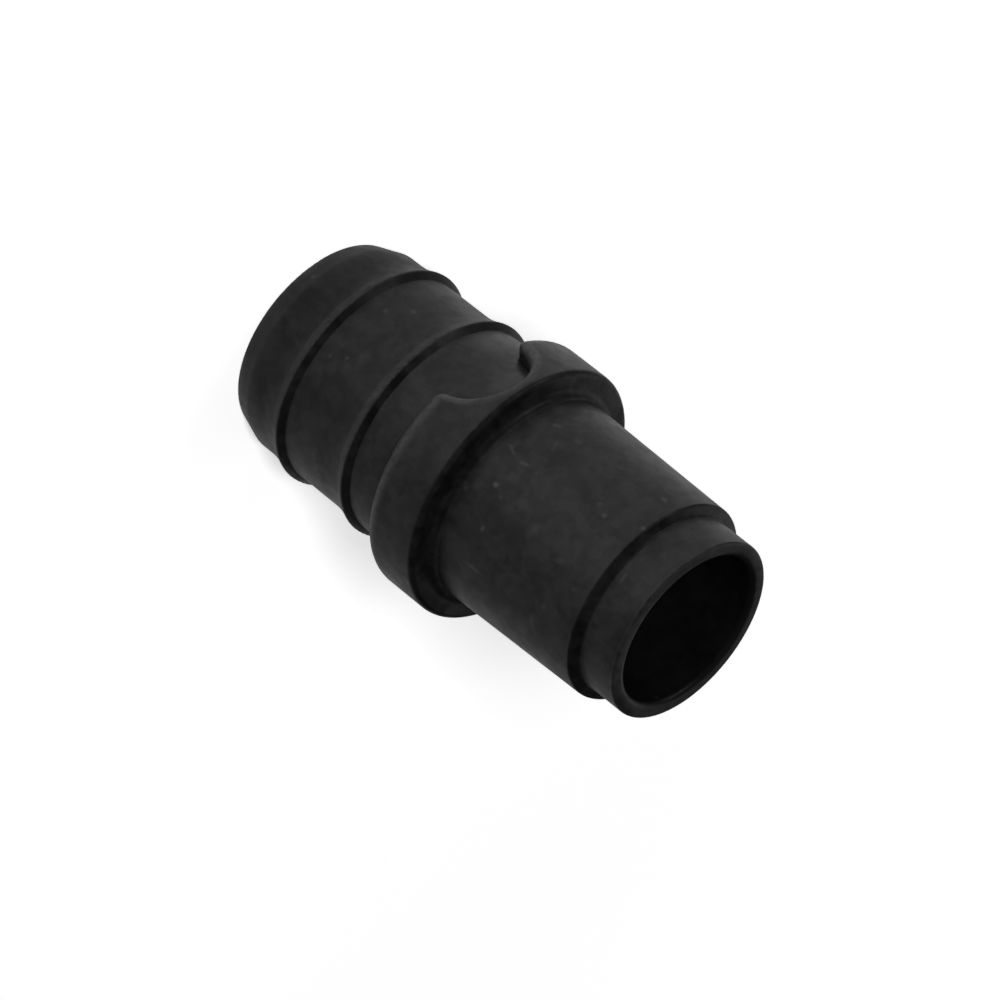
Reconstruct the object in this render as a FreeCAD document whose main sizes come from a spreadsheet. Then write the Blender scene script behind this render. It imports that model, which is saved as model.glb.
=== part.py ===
import FreeCAD, Part
import Sketcher
import math
import os

# Straight pipe adapter, moulded in one piece from black nylon.
# A hose pushes onto the barbed end, over two raised rings, up to a wide collar.
# Past the collar a slightly tapered spigot steps down to a short nose with the open bore.
# Lengths in mm. The part stands on its hose end: the axis is +Z and the hose end face is z = 0.
# The notch in the collar opens towards the hose end and faces -Y.

os.makedirs("parts", exist_ok=True)
doc = FreeCAD.newDocument("StraightPipeAdapter")

# Sizes, each one written once
sizes = [
    ("root_dia", 37.8, "plain hose land, for a 38 mm hose"),
    ("lead_length", 4.5, "lead-in taper at the hose end, along the axis"),
    ("lead_depth", 1.45, "how far the taper draws in to the hose end"),
    ("tip_round", 0.5, "rounded edge of the hose end"),
    ("first_land", 2.3, "plain land between the lead-in and the first ring"),
    ("ring_height", 1.05, "crest of a hose ring above the land"),
    ("ring_rise", 5.2, "hollow flare in front of a crest"),
    ("ring_drop", 1.1, "steep back of a ring"),
    ("ring_round", 0.35, "rounded crest of a ring"),
    ("ring_gap", 8.9, "plain land between two rings"),
    ("ring_count", 2, "hose rings"),
    ("clamp_land", 7.4, "plain land from the last ring to the collar"),
    ("collar_height", 3.9, "collar above the wider of the land and the spigot"),
    ("collar_length", 11.0, "collar along the axis"),
    ("collar_back_round", 2.5, "large round on the hose side"),
    ("collar_front_round", 1.0, "round on the nose side"),
    ("notch_width", 15.7, "notch in the collar, across its round end"),
    ("notch_strip", 1.45, "collar left between the notch and the front round"),
    ("notch_flare", 2.6, "corner radius where it runs out at the back"),
    ("notch_flare_angle", 15, "degrees between its side and the back face"),
    ("notch_rim_round", 1.0, "upper edge of the notch"),
    ("notch_rise", 2.4, "how far its floor climbs above the land towards the front"),
    ("notch_ramp", 5.5, "length of the climb along the axis"),
    ("notch_ramp_round", 14.0, "hollow where the climb starts"),
    ("nose_dia", 32.0, "nose, for a 32 mm socket"),
    ("nose_length", 7.2, "nose along the axis"),
    ("nose_wall", 2.75, "wall round the nose bore"),
    ("nose_bore_length", 17.0, "even bore from the nose end down to the cone"),
    ("nose_round", 0.45, "outer edge of the nose"),
    ("mouth_round", 1.0, "rounded mouth of the bore"),
    ("step_height", 1.8, "step from the nose up to the spigot"),
    ("step_slope", 0.7, "how far the step leans along the axis"),
    ("step_round", 0.5, "outer edge of the step"),
    ("step_foot_round", 0.6, "fillet at the foot of the step"),
    ("spigot_length", 29.9, "from the collar to the step"),
    ("spigot_taper", 0.65, "how much the radius grows from the step to the collar"),
    ("spigot_root_round", 1.5, "fillet against the collar"),
    ("wall", 3.0, "wall of the cored part below the nose bore"),
    ("shoulder_length", 2.2, "cone from the cored part to the nose bore"),
    ("core_round", 0.4, "broken edge of the bore at the hose end"),
]
sheet = doc.addObject("Spreadsheet::Sheet", "Sizes")
for row, (name, value, note) in enumerate(sizes, start=1):
    sheet.set("A%d" % row, name)
    sheet.set("B%d" % row, str(value))
    sheet.set("C%d" % row, note)
    sheet.setAlias("B%d" % row, name)
doc.recompute()

# Radii and places along the axis that follow from the sizes
root_radius = "Sizes.root_dia / 2"
tip_radius = root_radius + " - Sizes.lead_depth"
nose_radius = "Sizes.nose_dia / 2"
bore_radius = nose_radius + " - Sizes.nose_wall"
spigot_tip_radius = nose_radius + " + Sizes.step_height"
spigot_radius = spigot_tip_radius + " + Sizes.spigot_taper"
collar_radius = "max(%s; %s) + Sizes.collar_height" % (root_radius, spigot_radius)
seat_radius = root_radius + " - Sizes.wall / 2"
core_radius = root_radius + " - Sizes.wall"
core_end_radius = spigot_tip_radius + " - Sizes.wall"
ring_start = "Sizes.lead_length + Sizes.first_land"
ring_crest = ring_start + " + Sizes.ring_rise"
ring_back = ring_crest + " + Sizes.ring_drop"
ring_pitch = "Sizes.ring_rise + Sizes.ring_drop + Sizes.ring_gap"
collar_back = ring_back + " + (%s) * (Sizes.ring_count - 1) + Sizes.clamp_land" % ring_pitch
collar_front = collar_back + " + Sizes.collar_length"
notch_top = collar_front + " - Sizes.collar_front_round - Sizes.notch_strip"
floor_radius = root_radius + " + Sizes.notch_rise"
ramp_foot = notch_top + " - Sizes.notch_ramp"
step_crest = collar_front + " + Sizes.spigot_length"
step_foot = step_crest + " + Sizes.step_slope"
nose_end = step_foot + " + Sizes.nose_length"
shoulder_end = nose_end + " - Sizes.nose_bore_length"
shoulder_start = shoulder_end + " - Sizes.shoulder_length"


def size(expression):
    return float(sheet.evalExpression(expression))


def add_sketch(body, name):
    sketch = body.newObject("Sketcher::SketchObject", name)
    plane = next(item for item in body.Origin.OriginFeatures if item.Role == "XZ_Plane")
    sketch.AttachmentSupport = [(plane, "")]
    sketch.MapMode = "FlatFace"
    return sketch


def bind(sketch, constraint, expression):
    index = sketch.addConstraint(constraint)
    sketch.setExpression("Constraints[%d]" % index, expression)


# Hold one end of a line at a distance across and along the axis of the part
def place(sketch, line, end, across, along):
    if across == "0":
        sketch.addConstraint(Sketcher.Constraint("PointOnObject", line, end, -2))
    else:
        bind(sketch, Sketcher.Constraint("DistanceX", -1, 1, line, end, size(across)), across)
    if along == "0":
        sketch.addConstraint(Sketcher.Constraint("PointOnObject", line, end, -1))
    else:
        bind(sketch, Sketcher.Constraint("DistanceY", -1, 1, line, end, size(along)), along)


# An arc from one point to the other round a centre, drawn the way that the outline turns
def arc_between(centre, radius, first, second, left):
    start, end = (first, second) if left else (second, first)
    start_angle = math.atan2(start.y - centre.y, start.x - centre.x)
    end_angle = math.atan2(end.y - centre.y, end.x - centre.x)
    if end_angle < start_angle:
        end_angle += 2 * math.pi
    return Part.ArcOfCircle(Part.Circle(centre, FreeCAD.Vector(0, 0, 1), radius), start_angle, end_angle)


# Closed half section from (across, along) corners, each tied to the sizes.
# A corner with a third entry is rounded by that size.
def draw_half_section(body, name, corners):
    sketch = add_sketch(body, name)
    points = [FreeCAD.Vector(size(corner[0]), size(corner[1]), 0) for corner in corners]
    count = len(points)
    line_starts = list(points)
    line_ends = points[1:] + points[:1]
    rounds = []
    for number, corner in enumerate(corners):
        if len(corner) == 3:
            point, radius = points[number], size(corner[2])
            back = (points[number - 1] - point).normalize()
            ahead = (points[(number + 1) % count] - point).normalize()
            half_angle = back.getAngle(ahead) / 2
            left = back.cross(ahead).z < 0
            centre = point + (back + ahead).normalize() * (radius / math.sin(half_angle))
            line_ends[number - 1] = point + back * (radius / math.tan(half_angle))
            line_starts[number] = point + ahead * (radius / math.tan(half_angle))
            arc = arc_between(centre, radius, line_ends[number - 1], line_starts[number], left)
            rounds.append((number, arc, left))
    for start, end in zip(line_starts, line_ends):
        sketch.addGeometry(Part.LineSegment(start, end), False)
    sharp = set(range(count)) - set(number for number, arc, left in rounds)
    for number in sorted(sharp):
        sketch.addConstraint(Sketcher.Constraint("Coincident", (number - 1) % count, 2, number, 1))
        place(sketch, number, 1, corners[number][0], corners[number][1])
    for number, arc, left in rounds:
        before = (number - 1) % count
        round_arc = sketch.addGeometry(arc, False)
        corner_point = sketch.addGeometry(Part.Point(points[number]), True)
        first, second = (1, 2) if left else (2, 1)
        sketch.addConstraint([
            Sketcher.Constraint("Tangent", before, 2, round_arc, first),
            Sketcher.Constraint("Tangent", round_arc, second, number, 1),
            Sketcher.Constraint("PointOnObject", corner_point, 1, before),
            Sketcher.Constraint("PointOnObject", corner_point, 1, number),
        ])
        across, along, round_size = corners[number]
        place(sketch, corner_point, 1, across, along)
        bind(sketch, Sketcher.Constraint("Radius", round_arc, size(round_size)), round_size)
    return sketch


def turn(body, kind, name, sketch):
    feature = body.newObject(kind, name)
    feature.Profile = sketch
    feature.ReferenceAxis = (sketch, ["V_Axis"])
    feature.Angle = 360
    body.Tip = feature
    doc.recompute()
    return feature


# Names of the circular edges round the axis with this radius at this height
def circles_at(feature, radius, height):
    found = []
    for number, edge in enumerate(feature.Shape.Edges, start=1):
        curve = edge.Curve
        if isinstance(curve, Part.Circle) and abs(curve.Radius - size(radius)) < 0.002:
            if abs(curve.Center.z - size(height)) < 0.002 and abs(curve.Center.x) < 0.002:
                found.append("Edge%d" % number)
    return found


def round_edges(body, name, base, edges, radius):
    feature = body.newObject("PartDesign::Fillet", name)
    feature.Base = (base, edges)
    feature.setExpression("Radius", radius)
    body.Tip = feature
    doc.recompute()
    return feature


body = doc.addObject("PartDesign::Body", "AdapterBody")
body.Label = "adapter_body"
body.Placement = FreeCAD.Placement()

# Collar: a disc with both edges rounded, before the notch is cut
collar_sketch = draw_half_section(body, "CollarSection", [
    ("0", collar_back),
    (collar_radius, collar_back),
    (collar_radius, collar_front),
    ("0", collar_front),
])
collar = turn(body, "PartDesign::Revolution", "Collar", collar_sketch)
collar = round_edges(body, "CollarBackRound", collar,
                     circles_at(collar, collar_radius, collar_back), "Sizes.collar_back_round")
collar = round_edges(body, "CollarFrontRound", collar,
                     circles_at(collar, collar_radius, collar_front), "Sizes.collar_front_round")

# Notch: a round-ended slot through the -Y side of the collar, flared where it runs out at the back
half_width = size("Sizes.notch_width / 2")
flare = size("Sizes.notch_flare")
angle = math.radians(size("Sizes.notch_flare_angle"))
back = size(collar_back)
slot_centre = FreeCAD.Vector(0, size(notch_top + " - Sizes.notch_width / 2"), 0)
flare_height = back + flare * math.cos(angle)
flare_across = math.sqrt((half_width + flare) ** 2 - (flare_height - slot_centre.y) ** 2)
lean = math.atan2(flare_height - slot_centre.y, flare_across)
tail_low = back - half_width

notch_sketch = add_sketch(body, "NotchOutline")
up = FreeCAD.Vector(0, 0, 1)
slot_circle = Part.Circle(slot_centre, up, half_width)
notch_sketch.addGeometry(Part.ArcOfCircle(slot_circle, lean, math.pi - lean), False)
right_circle = Part.Circle(FreeCAD.Vector(flare_across, flare_height, 0), up, flare)
notch_sketch.addGeometry(Part.ArcOfCircle(right_circle, math.pi + lean, 1.5 * math.pi - angle), False)
left_circle = Part.Circle(FreeCAD.Vector(-flare_across, flare_height, 0), up, flare)
notch_sketch.addGeometry(Part.ArcOfCircle(left_circle, 1.5 * math.pi + angle, 2 * math.pi - lean), False)
mouth = flare_across - flare * math.sin(angle)
tail_across = mouth + (back - tail_low) / math.tan(angle)
low_right = FreeCAD.Vector(tail_across, tail_low, 0)
low_left = FreeCAD.Vector(-tail_across, tail_low, 0)
notch_sketch.addGeometry(Part.LineSegment(FreeCAD.Vector(mouth, back, 0), low_right), False)
notch_sketch.addGeometry(Part.LineSegment(low_right, low_left), False)
notch_sketch.addGeometry(Part.LineSegment(low_left, FreeCAD.Vector(-mouth, back, 0)), False)
slot_arc, right_arc, left_arc, right_tail, closing, left_tail = range(6)
notch_sketch.addConstraint([
    Sketcher.Constraint("PointOnObject", slot_arc, 3, -2),
    Sketcher.Constraint("Tangent", slot_arc, 1, right_arc, 1),
    Sketcher.Constraint("Tangent", slot_arc, 2, left_arc, 2),
    Sketcher.Constraint("Tangent", right_arc, 2, right_tail, 1),
    Sketcher.Constraint("Tangent", left_arc, 1, left_tail, 2),
    Sketcher.Constraint("Coincident", right_tail, 2, closing, 1),
    Sketcher.Constraint("Coincident", closing, 2, left_tail, 1),
    Sketcher.Constraint("Symmetric", right_tail, 1, left_tail, 2, -2),
    Sketcher.Constraint("Symmetric", right_tail, 2, left_tail, 1, -2),
])
bind(notch_sketch, Sketcher.Constraint("Radius", slot_arc, half_width), "Sizes.notch_width / 2")
bind(notch_sketch, Sketcher.Constraint("DistanceY", -1, 1, slot_arc, 3, slot_centre.y),
     notch_top + " - Sizes.notch_width / 2")
bind(notch_sketch, Sketcher.Constraint("Radius", right_arc, flare), "Sizes.notch_flare")
bind(notch_sketch, Sketcher.Constraint("DistanceY", -1, 1, right_arc, 2, back), collar_back)
bind(notch_sketch, Sketcher.Constraint("DistanceY", -1, 1, right_tail, 2, tail_low),
     collar_back + " - Sizes.notch_width / 2")
bind(notch_sketch, Sketcher.Constraint("Angle", right_tail, 2, closing, 1, angle),
     "Sizes.notch_flare_angle")
whole = collar.Shape.Volume
notch = body.newObject("PartDesign::Pocket", "Notch")
notch.Profile = notch_sketch
notch.Type = "ThroughAll"
notch.Reversed = True
body.Tip = notch
doc.recompute()
if notch.Shape.Volume > whole - 1:
    raise RuntimeError("the notch cuts nothing")


# Names of the edges where the wall of the notch meets the outside of the collar
def rim_edges(feature):
    found = []
    for number, edge in enumerate(feature.Shape.Edges, start=1):
        walls = 0
        for face in feature.Shape.ancestorsOfType(edge, Part.Face):
            axis = getattr(face.Surface, "Axis", None)
            if axis is not None and abs(axis.z) < 0.5:
                walls += 1
        if walls == 1:
            found.append("Edge%d" % number)
    return found


# The rounded rim is no larger than the low wall at the front end of the notch
rim = round_edges(body, "NotchRimRound", notch, rim_edges(notch),
                  "min(Sizes.notch_rim_round; (Sizes.collar_height - Sizes.notch_rise) * 0.75)")

# Tube: hose end, spigot and nose turned in one outline, solid at first.
# Under the collar the outline climbs, which makes the sloping floor of the notch.
tube_sketch = draw_half_section(body, "TubeSection", [
    ("0", "0"),
    (tip_radius, "0", "Sizes.tip_round"),
    (root_radius, "Sizes.lead_length"),
    (root_radius, ramp_foot, "Sizes.notch_ramp_round"),
    (floor_radius, notch_top),
    (spigot_radius, collar_front),
    (spigot_tip_radius, step_crest, "Sizes.step_round"),
    (nose_radius, step_foot, "Sizes.step_foot_round"),
    (nose_radius, nose_end, "Sizes.nose_round"),
    ("0", nose_end),
])
tube = turn(body, "PartDesign::Revolution", "Tube", tube_sketch)

# Hose rings: a flare that hollows up to a rounded crest, then a steep back, repeated along the axis
ring_sketch = add_sketch(body, "RingSection")
root = size(root_radius)
crest_radius = size("Sizes.ring_round")
crest_centre = FreeCAD.Vector(size(root_radius + " + Sizes.ring_height - Sizes.ring_round"), size(ring_crest), 0)
height, rise = size("Sizes.ring_height"), size("Sizes.ring_rise")
flare_radius = (rise ** 2 + (height - crest_radius) ** 2 - crest_radius ** 2) / (2 * height)
flare_start = FreeCAD.Vector(root, size(ring_start), 0)
flare_centre = flare_start + FreeCAD.Vector(flare_radius, 0, 0)
flare_end = crest_centre + (flare_centre - crest_centre).normalize() * crest_radius
back_foot = FreeCAD.Vector(root, size(ring_back), 0)
to_foot = back_foot - crest_centre
lean = math.atan2(to_foot.y, to_foot.x) - math.acos(crest_radius / to_foot.Length)
crest_end = crest_centre + FreeCAD.Vector(math.cos(lean), math.sin(lean), 0) * crest_radius
seat_low = FreeCAD.Vector(size(seat_radius), flare_start.y, 0)
seat_high = FreeCAD.Vector(size(seat_radius), back_foot.y, 0)
ring_sketch.addGeometry(arc_between(flare_centre, flare_radius, flare_end, flare_start, True), False)
ring_sketch.addGeometry(Part.LineSegment(flare_start, seat_low), False)
ring_sketch.addGeometry(Part.LineSegment(seat_low, seat_high), False)
ring_sketch.addGeometry(Part.LineSegment(seat_high, back_foot), False)
ring_sketch.addGeometry(Part.LineSegment(back_foot, crest_end), False)
ring_sketch.addGeometry(arc_between(crest_centre, crest_radius, flare_end, crest_end, True), False)
flare_arc, front_line, seat_line, foot_line, back_line, crest_arc = range(6)
ring_sketch.addConstraint([
    Sketcher.Constraint("Coincident", flare_arc, 2, front_line, 1),
    Sketcher.Constraint("Coincident", front_line, 2, seat_line, 1),
    Sketcher.Constraint("Coincident", seat_line, 2, foot_line, 1),
    Sketcher.Constraint("Coincident", foot_line, 2, back_line, 1),
    Sketcher.Constraint("Tangent", back_line, 2, crest_arc, 2),
    Sketcher.Constraint("Tangent", crest_arc, 1, flare_arc, 1),
    Sketcher.Constraint("Horizontal", flare_arc, 3, flare_arc, 2),
    Sketcher.Constraint("Horizontal", front_line),
    Sketcher.Constraint("Vertical", seat_line),
    Sketcher.Constraint("Horizontal", foot_line),
])
place(ring_sketch, front_line, 1, root_radius, ring_start)
place(ring_sketch, foot_line, 2, root_radius, ring_back)
place(ring_sketch, crest_arc, 3, root_radius + " + Sizes.ring_height - Sizes.ring_round", ring_crest)
bind(ring_sketch, Sketcher.Constraint("Radius", crest_arc, crest_radius), "Sizes.ring_round")
bind(ring_sketch, Sketcher.Constraint("DistanceX", -1, 1, seat_line, 1, seat_low.x), seat_radius)
ring = turn(body, "PartDesign::Revolution", "HoseRing", ring_sketch)
rings = body.newObject("PartDesign::LinearPattern", "HoseRings")
rings.Originals = [ring]
rings.Direction = (ring_sketch, ["V_Axis"])
rings.Mode = "Spacing"
rings.setExpression("Offset", ring_pitch)
rings.setExpression("Occurrences", "Sizes.ring_count")
body.Tip = rings
doc.recompute()
if size("Sizes.ring_count") > 1 and rings.Shape.Volume < ring.Shape.Volume + 1:
    raise RuntimeError("the rings aren't repeated")

# Bore: cored from the hose end with an even wall, narrowing over a cone to the nose bore
bore_sketch = draw_half_section(body, "BoreSection", [
    ("0", "0"),
    (core_radius, "0"),
    (core_end_radius, shoulder_start),
    (bore_radius, shoulder_end),
    (bore_radius, nose_end),
    ("0", nose_end),
])
solid_volume = rings.Shape.Volume
bore = turn(body, "PartDesign::Groove", "Bore", bore_sketch)
if bore.Shape.Volume > solid_volume - 1:
    raise RuntimeError("the bore cuts nothing")

# Fillet between spigot and collar, and rounds at both ends of the bore
last = bore
for name, radius, height, round_size in [
    ("SpigotRootRound", spigot_radius, collar_front, "Sizes.spigot_root_round"),
    ("MouthRound", bore_radius, nose_end, "Sizes.mouth_round"),
    ("CoreRound", core_radius, "0", "Sizes.core_round"),
]:
    last = round_edges(body, name, last, circles_at(last, radius, height), round_size)

# Check every object before anything is written
for item in doc.Objects:
    if "Invalid" in item.State or "Error" in item.State:
        raise RuntimeError("%s failed: %s" % (item.Name, item.State))
shape = body.Shape
if shape.isNull() or not shape.isValid() or len(shape.Solids) != 1:
    raise RuntimeError("the adapter is not one valid solid")
shape.exportStep(os.path.join("parts", body.Label + ".step"))
box = shape.optimalBoundingBox(True)
print("adapter_body: volume %.1f mm3, height %.2f mm" % (shape.Volume, box.ZMax - box.ZMin))
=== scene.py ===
import math
import bmesh
import bpy
from mathutils import Matrix, Vector


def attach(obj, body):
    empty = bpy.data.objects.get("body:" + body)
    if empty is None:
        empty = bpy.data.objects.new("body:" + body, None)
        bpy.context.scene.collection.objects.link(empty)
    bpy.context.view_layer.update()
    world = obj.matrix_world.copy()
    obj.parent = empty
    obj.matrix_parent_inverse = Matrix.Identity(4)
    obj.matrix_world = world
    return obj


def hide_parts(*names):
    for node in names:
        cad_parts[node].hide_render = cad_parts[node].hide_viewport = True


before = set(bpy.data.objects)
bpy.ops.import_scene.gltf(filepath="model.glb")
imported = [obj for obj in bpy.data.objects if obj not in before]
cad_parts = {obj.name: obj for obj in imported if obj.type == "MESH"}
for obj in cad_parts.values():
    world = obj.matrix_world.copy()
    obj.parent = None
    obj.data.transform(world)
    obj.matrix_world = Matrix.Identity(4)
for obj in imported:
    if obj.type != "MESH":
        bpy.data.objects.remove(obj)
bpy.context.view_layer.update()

scene = bpy.context.scene
scene.view_settings.view_transform = "Standard"
millimetre = 0.001


# A node's output that can be used in sums
class Value:
    def __init__(self, nodes, socket):
        self.nodes = nodes
        self.socket = socket

    def __add__(self, other):
        return self.nodes.math("ADD", self, other)

    def __radd__(self, other):
        return self.nodes.math("ADD", other, self)

    def __sub__(self, other):
        return self.nodes.math("SUBTRACT", self, other)

    def __rsub__(self, other):
        return self.nodes.math("SUBTRACT", other, self)

    def __mul__(self, other):
        return self.nodes.math("MULTIPLY", self, other)

    def __rmul__(self, other):
        return self.nodes.math("MULTIPLY", other, self)

    def ramp(self, low, high, start=0.0, end=1.0):
        # smooth change from start to end while the value goes from low to high
        return self.nodes.add("ShaderNodeMapRange", {"interpolation_type": "SMOOTHSTEP"},
                              self, low, high, start, end)


# The nodes of a material or of the world
class Nodes:
    def __init__(self, tree):
        self.tree = tree
        self.tree.nodes.clear()

    def add(self, kind, settings=None, *inputs, out=0, **named):
        node = self.tree.nodes.new(kind)
        for key, value in (settings or {}).items():
            setattr(node, key, value)
        pairs = list(enumerate(inputs))
        pairs += [(key.replace("_", " "), value) for key, value in named.items()]
        for key, value in pairs:
            if value is None:
                continue
            if isinstance(value, Value):
                self.tree.links.new(value.socket, node.inputs[key])
            else:
                node.inputs[key].default_value = value
        return Value(self, node.outputs[out]) if node.outputs else node

    def math(self, operation, *inputs):
        return self.add("ShaderNodeMath", {"operation": operation}, *inputs)

    def length(self, vector):
        return self.add("ShaderNodeVectorMath", {"operation": "LENGTH"}, vector, out="Value")

    def dot(self, first, second):
        return self.add("ShaderNodeVectorMath", {"operation": "DOT_PRODUCT"}, first, second, out="Value")

    def noise(self, place, scale, detail, roughness=0.5, distortion=0.0, out=0):
        return self.add("ShaderNodeTexNoise", None, place, Scale=scale, Detail=detail,
                        Roughness=roughness, Distortion=distortion, out=out)

    def mixColour(self, factor, first, second):
        return self.add("ShaderNodeMix", {"data_type": "RGBA"}, factor, None, None, None, None, None,
                        first, second, out=2)


# Camera: the photograph's place, turned so that the nose points down to the right
cameraSettings = {
    "azimuth": 35.0,
    "elevation": 30.36,
    "distance": 0.9325,
    "lens": 216.43,
    "sensor": 36,
    "clip": (0.01, 20),
    "axisTurn": 38.46,
    "aimHeight": 0.04176,
    "aimPixel": (498.7, 479.9),  # where the aimed point lies in the picture
    "pictureSize": 1000,
}


# Directions round the adapter are given as (turn, elevation) in degrees: the turn is from the
# camera's side of the adapter round to the side with the notch
def direction(turn, elevation):
    bearing, rise = math.radians(cameraSettings["azimuth"] - turn), math.radians(elevation)
    level = Vector((math.sin(bearing), -math.cos(bearing), 0))
    return level * math.cos(rise) + Vector((0, 0, math.sin(rise)))


def addCamera(settings):
    back = direction(0, settings["elevation"])
    azimuth = math.radians(settings["azimuth"])
    right = Vector((math.cos(azimuth), math.sin(azimuth), 0))
    up = back.cross(right)
    turn = math.radians(settings["axisTurn"])
    sideways = up * math.cos(turn) - right * math.sin(turn)
    upwards = -up * math.sin(turn) - right * math.cos(turn)
    # the view is tipped a little, because the aimed point lies off the middle of the picture
    middle = settings["pictureSize"] / 2
    perPixel = settings["sensor"] / settings["pictureSize"] / settings["lens"]
    offX = (settings["aimPixel"][0] - middle) * perPixel
    offY = (middle - settings["aimPixel"][1]) * perPixel
    forward = (-back - sideways * offX - upwards * offY).normalized()
    sideways = (sideways - forward * sideways.dot(forward)).normalized()
    upwards = sideways.cross(forward)
    camera = bpy.data.objects.new("camera", bpy.data.cameras.new("camera"))
    scene.collection.objects.link(camera)
    camera.data.sensor_width = settings["sensor"]
    camera.data.lens = settings["lens"]
    camera.data.clip_start, camera.data.clip_end = settings["clip"]
    place = Matrix((sideways, upwards, -forward)).transposed().to_4x4()
    place.translation = Vector((0, 0, settings["aimHeight"])) + back * settings["distance"]
    camera.matrix_world = place
    scene.camera = camera


addCamera(cameraSettings)
print("camera placed")

# Marks of use and moulding, of which two pale ones are painted highlights: turn, height, half size round
# the girth and along the axis in mm, lean in degrees and strength, which is negative for a dark mark
markAndHighlightSettings = {
    "reach": 18.5,  # from the axis to the marked surface in mm
    "depth": 4.0,
    "edge": (0.25, 1.25),
    "ragged": 0.5, "raggedNoise": (1400.0, 2.0),
    "marksAndHighlights": [
        (30.8, 16.5, 0.60, 0.60, 0, 0.22), (40.2, 19.4, 0.50, 0.62, 0, 0.25),
        (0.5, 18.0, 0.38, 0.50, 0, 0.22), (22.0, 2.6, 0.50, 0.50, 0, 0.25),
        (5.9, 20.2, 1.20, 1.00, 0, 0.08), (-20.4, 23.2, 2.15, 1.62, 20, -0.80),
        (-22.4, 14.6, 2.18, 1.26, 0, -0.70), (-7.5, 14.6, 0.78, 0.90, 0, -0.60),
        (-51.2, 19.7, 1.24, 0.40, 0, 0.10), (41.2, 52.0, 0.60, 0.80, 0, 0.18),
        (41.5, 56.6, 0.70, 0.90, 0, 0.15), (30.6, 55.0, 1.60, 0.45, -25, 0.09),
        (15.4, 50.7, 0.34, 1.25, 20, 0.20), (13.7, 53.9, 0.34, 1.25, -15, 0.20),
        (5.3, 54.3, 1.20, 1.30, 15, 0.12), (-2.6, 52.6, 0.50, 0.56, 0, 0.45),
        (-2.4, 58.4, 1.15, 1.30, 0, 0.12), (-8.4, 62.4, 1.90, 0.85, 10, 0.09),
        (-12.7, 55.1, 1.00, 1.30, 0, -0.80), (-23.5, 54.7, 0.65, 0.50, 0, 0.28),
        (-12.4, 69.1, 0.60, 1.40, -25, 0.12), (18.4, 70.0, 0.48, 0.50, 0, 0.22),
        (-45.2, 55.6, 0.42, 2.16, 0, 0.24), (-36.6, 70.2, 0.62, 0.60, 0, 0.15),
        (-49.7, 68.5, 1.32, 0.50, -10, 0.18), (-61.2, 66.2, 0.70, 1.62, -20, 0.10),
        (25.8, 76.0, 0.46, 0.50, 0, 0.30), (47.5, 73.6, 0.57, 0.85, 25, 0.25),
        # the second mark on the next line is a painted highlight at the foot of the step onto the nose
        (-46.6, 83.2, 0.80, 0.42, 0, 0.20), (0.0, 78.7, 1.30, 0.55, 0, 0.28),
        (30.1, 71.0, 1.08, 1.08, 0, -0.70), (6.0, 79.6, 0.9, 0.9, 0, -0.5),
        # the first mark on the next line is a painted sheen on the notch side of the land before the
        # collar
        (60.0, 32.0, 4.5, 3.0, 0, 0.3), (-3.0, 79.9, 0.8, 0.8, 0, 0.08),
    ],
}


def markAndHighlightMasks(nodes, place, settings):
    # one mask of the pale marks, some of which are painted highlights, and one of the dark marks, both
    # with ragged outlines
    ragged, half = settings["ragged"] * millimetre, settings["ragged"] * millimetre / 2
    shake = nodes.noise(place, *settings["raggedNoise"], out=1)
    shaken = nodes.add("ShaderNodeVectorMath", {"operation": "MULTIPLY_ADD"}, shake, (ragged,) * 3, place)
    depth = settings["depth"] * millimetre
    pale, dark = 0.0, 0.0
    for turn, height, girth, length, lean, strength in settings["marksAndHighlights"]:
        spot = direction(turn, 0) * settings["reach"] * millimetre
        spot += Vector((half, half, half + height * millimetre))
        bearing = math.radians(cameraSettings["azimuth"] - turn)
        local = nodes.add("ShaderNodeMapping", {"vector_type": "TEXTURE"}, shaken, spot,
                          (0, math.radians(lean), bearing),
                          (girth * millimetre, depth, length * millimetre))
        mask = nodes.length(local).ramp(*settings["edge"], abs(strength), 0.0)
        if strength > 0:
            pale = mask + pale
        else:
            dark = mask + dark
    return pale, dark


# Painted highlights along the edges, which stand also for light rubbing, in mm: the rim of the notch,
# which is a round slot with two flared corners, the back edge of the collar, the nose and its mouth, the
# ring crests and the hose end. A pair is the two places between which the painted highlight comes or
# goes, and two more numbers are its amounts there.
edgeWearAndHighlightSettings = {
    "slotHeight": 36.4, "slotRadius": 7.85,
    "cornerAcross": 10.29, "cornerHeight": 38.21, "cornerRadius": 2.6,
    "aboveBlend": 0.4, "acrossBlend": 0.3,
    "rimStart": (-0.5, 0.1), "rimEnd": (0.96, 2.08), "rimFront": (10.0, 12.0),
    "rimTop": (40.5, 43.5, 1.0, 0.35),
    "backHeight": 35.7, "backStart": (0.0, 0.3), "backEnd": (1.38, 3.22), "collarInside": (20.6, 21.2),
    "noseInside": (15.4, 15.65), "noseHeight": (83.9, 84.15),
    "ringCrests": (12.0, 27.2), "ringStart": (-1.6, -1.0), "ringEnd": (0.0, 0.4),
    "mouthOutside": (14.5, 14.0), "mouthHeight": (82.9, 83.4), "mouthSide": (3.0, 9.0),
    "tipHeight": (3.4, 3.9), "tipInside": (16.4, 16.8),
    "strengths": {"rim": 0.6, "back": 0.45, "nose": 0.16, "ring": 0.2, "mouth": 0.28, "tip": 0.08},
    "raggedNoise": (0.9, 2.0, 0.6), "ragged": (0.3, 0.6, 0.45, 1.0),
}


def band(value, start, end, strength=1.0):
    return value.ramp(*start) * value.ramp(*end, strength, 0.0)


# painted highlights on the edges, partly standing for light rubbing
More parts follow.
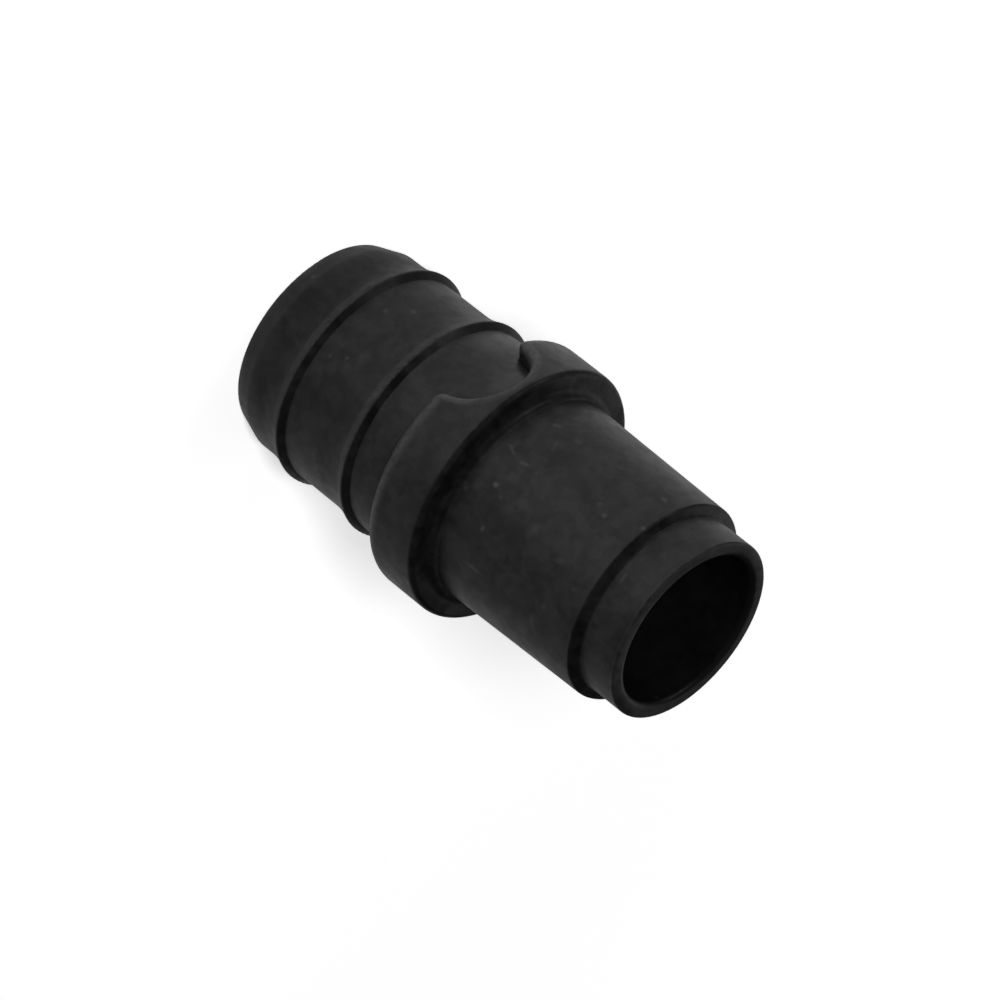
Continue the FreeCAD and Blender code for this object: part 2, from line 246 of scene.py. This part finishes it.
def edgeWearAndHighlights(nodes, place, settings):
    strengths = settings["strengths"]
    place = nodes.add("ShaderNodeVectorMath", {"operation": "SCALE"}, place, Scale=1 / millimetre)
    across = nodes.math("ABSOLUTE", nodes.add("ShaderNodeSeparateXYZ", None, place, out="X"))
    front = 0 - nodes.add("ShaderNodeSeparateXYZ", None, place, out="Y")
    along = nodes.add("ShaderNodeSeparateXYZ", None, place, out="Z")
    towardsCamera = nodes.dot(place, direction(0, 0))
    radius = nodes.math("SQRT", across * across + front * front)

    def distance(x, z):
        sideways, upwards = across - x, along - z
        return nodes.math("SQRT", sideways * sideways + upwards * upwards)

    slotEdge = distance(0.0, settings["slotHeight"]) - settings["slotRadius"]
    cornerEdge = settings["cornerRadius"] - distance(settings["cornerAcross"], settings["cornerHeight"])
    blend = settings["aboveBlend"]
    aboveCorner = along.ramp(settings["cornerHeight"] - blend, settings["cornerHeight"] + blend)
    blend = settings["acrossBlend"]
    nearSlot = across.ramp(settings["cornerAcross"] + blend, settings["cornerAcross"] - blend)
    rim = band(slotEdge, settings["rimStart"], settings["rimEnd"]) * aboveCorner
    rim = rim + band(cornerEdge, settings["rimStart"], settings["rimEnd"]) * (1 - aboveCorner) * nearSlot
    rim = rim * front.ramp(*settings["rimFront"]) * along.ramp(*settings["rimTop"])
    back = band(along - settings["backHeight"], settings["backStart"], settings["backEnd"])
    collar = nodes.math("MAXIMUM", rim * strengths["rim"], back * strengths["back"])
    nose = radius.ramp(*settings["noseInside"]) * along.ramp(*settings["noseHeight"])
    wornAndLit = collar * radius.ramp(*settings["collarInside"]) + nose * strengths["nose"]
    for crest in settings["ringCrests"]:
        wornAndLit = band(along - crest, settings["ringStart"], settings["ringEnd"], strengths["ring"]) + wornAndLit
    # painted highlight on the lip of the mouth, only on the side towards the camera
    mouth = radius.ramp(*settings["mouthOutside"]) * along.ramp(*settings["mouthHeight"]) \
        * towardsCamera.ramp(*settings["mouthSide"])
    tip = along.ramp(*settings["tipHeight"], strengths["tip"], 0.0) * radius.ramp(*settings["tipInside"])
    ragged = nodes.noise(place, *settings["raggedNoise"])
    return (wornAndLit + mouth * strengths["mouth"] + tip) * ragged.ramp(*settings["ragged"])


# Black moulded nylon: flow patches, clouds, specks, a fine grain and a gentle unevenness, with painted
# shade inside the bore. A noise is its scale, detail, roughness and distortion. An edge is where a change
# starts and ends, and the painted shade of the bore and the specks have their amounts there too.
nylonSettings = {
    "darkColour": (0.0030, 0.0030, 0.0031, 1),
    "paleColour": (0.0128, 0.0128, 0.0130, 1),
    "markAndHighlightColour": (0.10, 0.10, 0.10, 1),
    "boreShade": (0.0136, 0.0148, 0.3, 1.0),
    "patches": (190, 3.0, 0.6, 0.6), "patchEdge": (0.44, 0.56), "patchShare": 0.4,
    "clouds": (480, 2.0, 0.5, 0.3), "cloudEdge": (0.40, 0.62), "cloudShare": 0.45,
    "grain": (2600, 3.0, 0.6), "grainShare": 0.15, "grainDepth": 0.0015,
    "wave": (210, 1.0, 0.4), "waveDepth": 0.018,
    "speckScale": 150, "specks": (0.04, 0.08, 0.105, 0.0),
    "markDepth": 0.01,
    "roughness": 0.36, "cloudRoughness": 0.045, "patchRoughness": 0.035, "markRoughness": 0.1,
    "specular": 0.25,
}


def makeNylon(settings):
    material = bpy.data.materials.new("blackNylon")
    material.use_nodes = True
    nodes = Nodes(material.node_tree)
    place = nodes.add("ShaderNodeTexCoord", out="Object")
    patches = nodes.noise(place, *settings["patches"]).ramp(*settings["patchEdge"])
    clouds = nodes.noise(place, *settings["clouds"]).ramp(*settings["cloudEdge"])
    grain = nodes.noise(place, *settings["grain"])
    wave = nodes.noise(place, *settings["wave"])
    specks = nodes.add("ShaderNodeTexVoronoi", None, place, Scale=settings["speckScale"])
    specks = specks.ramp(*settings["specks"])
    pale, dark = markAndHighlightMasks(nodes, place, markAndHighlightSettings)
    edgeWearAndHighlight = edgeWearAndHighlights(nodes, place, edgeWearAndHighlightSettings)
    # painted shade: the tone inside the bore is darkened, standing in for the dim light there
    level = nodes.add("ShaderNodeVectorMath", {"operation": "MULTIPLY"}, place, (1, 1, 0))
    paintedBoreShade = nodes.length(level).ramp(*settings["boreShade"])
    tone = patches * settings["patchShare"] + clouds * settings["cloudShare"]
    tone = (tone + grain * settings["grainShare"]) * (1 - dark) * paintedBoreShade
    colour = nodes.mixColour(tone, settings["darkColour"], settings["paleColour"])
    # the pale marks, the specks and the painted edge highlights move the colour towards the pale mark
    # colour
    colour = nodes.mixColour(pale + specks + edgeWearAndHighlight, colour, settings["markAndHighlightColour"])
    roughness = (1 - clouds) * settings["cloudRoughness"] + (1 - patches) * settings["patchRoughness"] \
        + pale * settings["markRoughness"] + settings["roughness"]
    height = wave * settings["waveDepth"] + grain * settings["grainDepth"] + pale * settings["markDepth"]
    bump = nodes.add("ShaderNodeBump", None, Strength=1.0, Distance=millimetre, Height=height)
    shader = nodes.add("ShaderNodeBsdfPrincipled", None, Base_Color=colour, Roughness=roughness,
                       Normal=bump, Specular_IOR_Level=settings["specular"])
    nodes.add("ShaderNodeOutputMaterial", None, shader)
    return material


# The adapter is one moulding: a copy of the CAD mesh with its loose triangles joined, so that
# no seam shows, and with its true edges kept sharp
adapterSettings = {
    "mergeDistance": 0.000002,
    "sharpAngle": 28,
}


def makeAdapter(node, settings):
    mesh = node.data.copy()
    mesh.name = "mouldedAdapter"
    form = bmesh.new()
    form.from_mesh(mesh)
    bmesh.ops.remove_doubles(form, verts=form.verts, dist=settings["mergeDistance"])
    bmesh.ops.recalc_face_normals(form, faces=form.faces)
    for face in form.faces:
        face.smooth = True
    sharp = math.radians(settings["sharpAngle"])
    for edge in form.edges:
        edge.smooth = edge.is_manifold and edge.calc_face_angle() < sharp
    openEdges = sum(not edge.is_manifold for edge in form.edges)
    print("adapter", len(form.verts), "vertices", len(form.faces), "faces", openEdges, "open edges")
    form.to_mesh(mesh)
    form.free()
    mesh.materials.clear()
    mesh.materials.append(makeNylon(nylonSettings))
    piece = bpy.data.objects.new("mouldedAdapter", mesh)
    scene.collection.objects.link(piece)
    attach(piece, "root")
    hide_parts("adapter_body")


makeAdapter(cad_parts["adapter_body"], adapterSettings)
print("adapter finished")

# Stage. The camera sees a white floor and white surroundings. The plastic mirrors a floor that is
# bright towards the camera and the notch and dimmer close by, a pale backdrop low behind the
# adapter and a faint light overhead. A lobe is its direction, the cosines at which it starts
# and is full, and its strength.
stageSettings = {
    "floorRadius": 2.5, "floorSides": 96,
    "floorColour": (0.95, 0.95, 0.95, 1),
    "floorSeen": (0.08, 0.8, 0.62, 1.0),
    "floorClose": (0.021, 0.06, 0.1, 1.0),
    "floorLobes": [((85, 0), -0.2, 1.0, 0.34), ((18, 0), 0.3, 1.0, 0.23), ((5, 0), 0.8, 1.0, 0.34),
                   ((-60, 0), 0.0, 1.0, 0.05)],
    "roomLobes": [((157, 25), 0.86, 1.0, 0.54), ((0, 75), 0.6, 1.0, 0.07)],
    "room": 0.026,
    "white": (1, 1, 1, 1),
}


def lobes(nodes, way, places):
    light = 0.0
    for place, start, full, strength in places:
        light = nodes.dot(way, direction(*place)).ramp(start, full, 0.0, strength) + light
    return light


def seenDirectly(nodes):
    return nodes.add("ShaderNodeLightPath", out="Is Camera Ray") \
        + nodes.add("ShaderNodeLightPath", out="Is Transmission Ray")


def makeFloor(settings):
    bpy.ops.mesh.primitive_circle_add(vertices=settings["floorSides"], radius=settings["floorRadius"],
                                      fill_type="NGON", location=(0, 0, 0))
    floor = bpy.context.object
    floor.name = "floor"
    material = bpy.data.materials.new("paleFloor")
    material.use_nodes = True
    nodes = Nodes(material.node_tree)
    place = nodes.add("ShaderNodeTexCoord", out="Object")
    way = nodes.add("ShaderNodeVectorMath", {"operation": "NORMALIZE"}, place)
    reach = nodes.length(place)
    mirrored = lobes(nodes, way, settings["floorLobes"]) * reach.ramp(*settings["floorClose"])
    light = seenDirectly(nodes) * reach.ramp(*settings["floorSeen"]) \
        + nodes.add("ShaderNodeLightPath", out="Is Glossy Ray") * mirrored
    diffuse = nodes.add("ShaderNodeBsdfDiffuse", None, settings["floorColour"])
    glow = nodes.add("ShaderNodeEmission", None, settings["white"], light)
    nodes.add("ShaderNodeOutputMaterial", None, nodes.add("ShaderNodeAddShader", None, diffuse, glow))
    floor.data.materials.append(material)
    return floor


def makeWorld(settings):
    world = bpy.data.worlds.new("studio")
    scene.world = world
    world.use_nodes = True
    nodes = Nodes(world.node_tree)
    way = nodes.add("ShaderNodeTexCoord", out="Generated")
    seen = seenDirectly(nodes)
    light = (lobes(nodes, way, settings["roomLobes"]) + settings["room"]) * (1 - seen) + seen
    surroundings = nodes.add("ShaderNodeBackground", None, settings["white"], light)
    nodes.add("ShaderNodeOutputWorld", None, surroundings)


# Lamps: turn, elevation, distance, width, height, power and whether the plastic mirrors the lamp
lampSettings = {
    "mainLamp": (3, 38, 1.2, 0.16, 0.16, 7.5, False),
    "notchLamp": (80, 35, 0.8, 0.4, 0.25, 0.6, True),
    "backLamp": (150, 10, 0.8, 0.4, 0.25, 0.4, False),
}
lampAim = (0, 0, 0.045)


def addLamp(name, turn, elevation, distance, width, height, power, mirrored):
    away = direction(turn, elevation)
    lamp = bpy.data.objects.new(name, bpy.data.lights.new(name, "AREA"))
    scene.collection.objects.link(lamp)
    lamp.data.shape = "RECTANGLE"
    lamp.data.size = width
    lamp.data.size_y = height
    lamp.data.energy = power
    lamp.location = Vector(lampAim) + away * distance
    lamp.rotation_mode = "QUATERNION"
    lamp.rotation_quaternion = away.to_track_quat("Z", "Y")
    lamp.visible_glossy = mirrored


makeFloor(stageSettings)
makeWorld(stageSettings)
for lampName, lampPlace in lampSettings.items():
    addLamp(lampName, *lampPlace)
print("stage and lamps placed")
